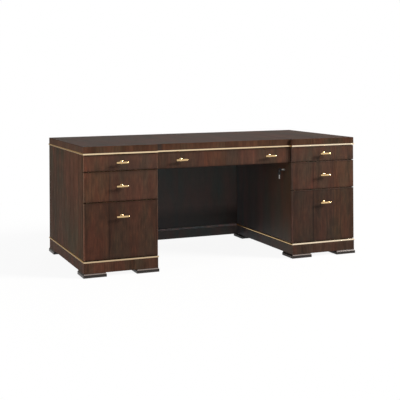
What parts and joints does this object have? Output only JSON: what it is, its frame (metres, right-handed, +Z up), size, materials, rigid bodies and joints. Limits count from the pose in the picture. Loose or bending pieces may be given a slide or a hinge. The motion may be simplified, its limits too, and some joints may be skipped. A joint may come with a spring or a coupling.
{
  "type": "pedestal desk",
  "caption": "Twin-pedestal office desk with a breakfront top, brass beads and pulls, sliding drawers, a modesty panel and a keyed lock in the kneehole.",
  "frame": {"origin": "on the floor, at the middle of the overall width and of the overall depth over pulls and feet", "axes": "+X to the right of someone facing the drawers, +Y to the back, +Z up"},
  "size_m": [1.834, 0.929, 0.762],
  "materials": {
    "walnut_veneer": "satin lacquered walnut veneer, grain upright on fronts and sides",
    "drawer_maple": "clear satin lacquer",
    "brass": "satin brass",
    "black_lacquer": "black gloss lacquer on wood",
    "slide_steel": "zinc plated",
    "nickel": "bright nickel plate",
    "black_plastic": "moulded, fine matte grain"
  },
  "bodies": {
    "desk_case": {"block_feet": "black_lacquer", "case_slide_members": "slide_steel", "desk_top": "walnut_veneer", "divider_rails": "drawer_maple", "left_back": "walnut_veneer", "left_base_bead": "brass", "left_bottom": "drawer_maple", "left_inner_side": "walnut_veneer", "left_outer_side": "walnut_veneer", "left_plinth": "walnut_veneer", "lock_barrel": "nickel", "modesty_panel": "walnut_veneer", "modesty_rail": "walnut_veneer", "right_back": "walnut_veneer", "right_base_bead": "brass", "right_bottom": "drawer_maple", "right_inner_side": "walnut_veneer", "right_outer_side": "walnut_veneer", "right_plinth": "walnut_veneer", "sub_top": "drawer_maple", "top_bead": "brass"},
    "left_top_drawer": {"left_top_box": "drawer_maple", "left_top_front": "walnut_veneer", "left_top_pull": "brass", "left_top_runners": "slide_steel"},
    "left_middle_drawer": {"left_middle_box": "drawer_maple", "left_middle_front": "walnut_veneer", "left_middle_pull": "brass", "left_middle_runners": "slide_steel"},
    "left_file_drawer": {"left_file_box": "drawer_maple", "left_file_front": "walnut_veneer", "left_file_hanging_rails": "slide_steel", "left_file_pull": "brass", "left_file_runners": "slide_steel"},
    "right_top_drawer": {"right_top_box": "drawer_maple", "right_top_front": "walnut_veneer", "right_top_pull": "brass", "right_top_runners": "slide_steel"},
    "right_middle_drawer": {"right_middle_box": "drawer_maple", "right_middle_front": "walnut_veneer", "right_middle_pull": "brass", "right_middle_runners": "slide_steel"},
    "right_file_drawer": {"right_file_box": "drawer_maple", "right_file_front": "walnut_veneer", "right_file_hanging_rails": "slide_steel", "right_file_pull": "brass", "right_file_runners": "slide_steel"},
    "centre_drawer": {"centre_box": "drawer_maple", "centre_front": "walnut_veneer", "centre_pull": "brass", "centre_runners": "slide_steel"},
    "left_file_slide_middles": {"left_file_middle_slides": "slide_steel"},
    "right_file_slide_middles": {"right_file_middle_slides": "slide_steel"},
    "lock_key": {"lock_plug": "nickel", "key_blade": "nickel", "key_bow": "black_plastic", "key_ring": "nickel"},
    "spare_key": {"spare_key_blade": "nickel", "spare_key_bow": "black_plastic"}
  },
  "joints": [
    {"name": "left_top_slide", "type": "slide", "parent": "desk_case", "child": "left_top_drawer", "axis": [0, -1, 0], "range_m": [0, 0.47]},
    {"name": "left_middle_slide", "type": "slide", "parent": "desk_case", "child": "left_middle_drawer", "axis": [0, -1, 0], "range_m": [0, 0.47]},
    {"name": "left_file_slide", "type": "slide", "parent": "desk_case", "child": "left_file_drawer", "axis": [0, -1, 0], "range_m": [0, 0.62]},
    {"name": "right_top_slide", "type": "slide", "parent": "desk_case", "child": "right_top_drawer", "axis": [0, -1, 0], "range_m": [0, 0.47]},
    {"name": "right_middle_slide", "type": "slide", "parent": "desk_case", "child": "right_middle_drawer", "axis": [0, -1, 0], "range_m": [0, 0.47]},
    {"name": "right_file_slide", "type": "slide", "parent": "desk_case", "child": "right_file_drawer", "axis": [0, -1, 0], "range_m": [0, 0.62]},
    {"name": "centre_slide", "type": "slide", "parent": "desk_case", "child": "centre_drawer", "axis": [0, -1, 0], "range_m": [0, 0.3]},
    {"name": "left_file_middle_slide", "type": "slide", "parent": "desk_case", "child": "left_file_slide_middles", "axis": [0, -1, 0], "range_m": [0, 0.31]},
    {"name": "right_file_middle_slide", "type": "slide", "parent": "desk_case", "child": "right_file_slide_middles", "axis": [0, -1, 0], "range_m": [0, 0.31]},
    {"name": "key_turn", "type": "hinge", "parent": "desk_case", "child": "lock_key", "pos_m": [0.456, -0.3235, 0.56], "axis": [1, 0, 0], "range_deg": [0, 90]},
    {"name": "spare_key_swing", "type": "hinge", "parent": "lock_key", "child": "spare_key", "pos_m": [0.417, -0.3235, 0.5515], "axis": [1, 0, 0], "range_deg": [-90, 0]}
  ],
  "couplings": [
    {"joint": "left_file_middle_slide", "follows": "left_file_slide", "ratio": 0.5},
    {"joint": "right_file_middle_slide", "follows": "right_file_slide", "ratio": 0.5},
    {"joint": "spare_key_swing", "follows": "key_turn", "ratio": -1}
  ]
}
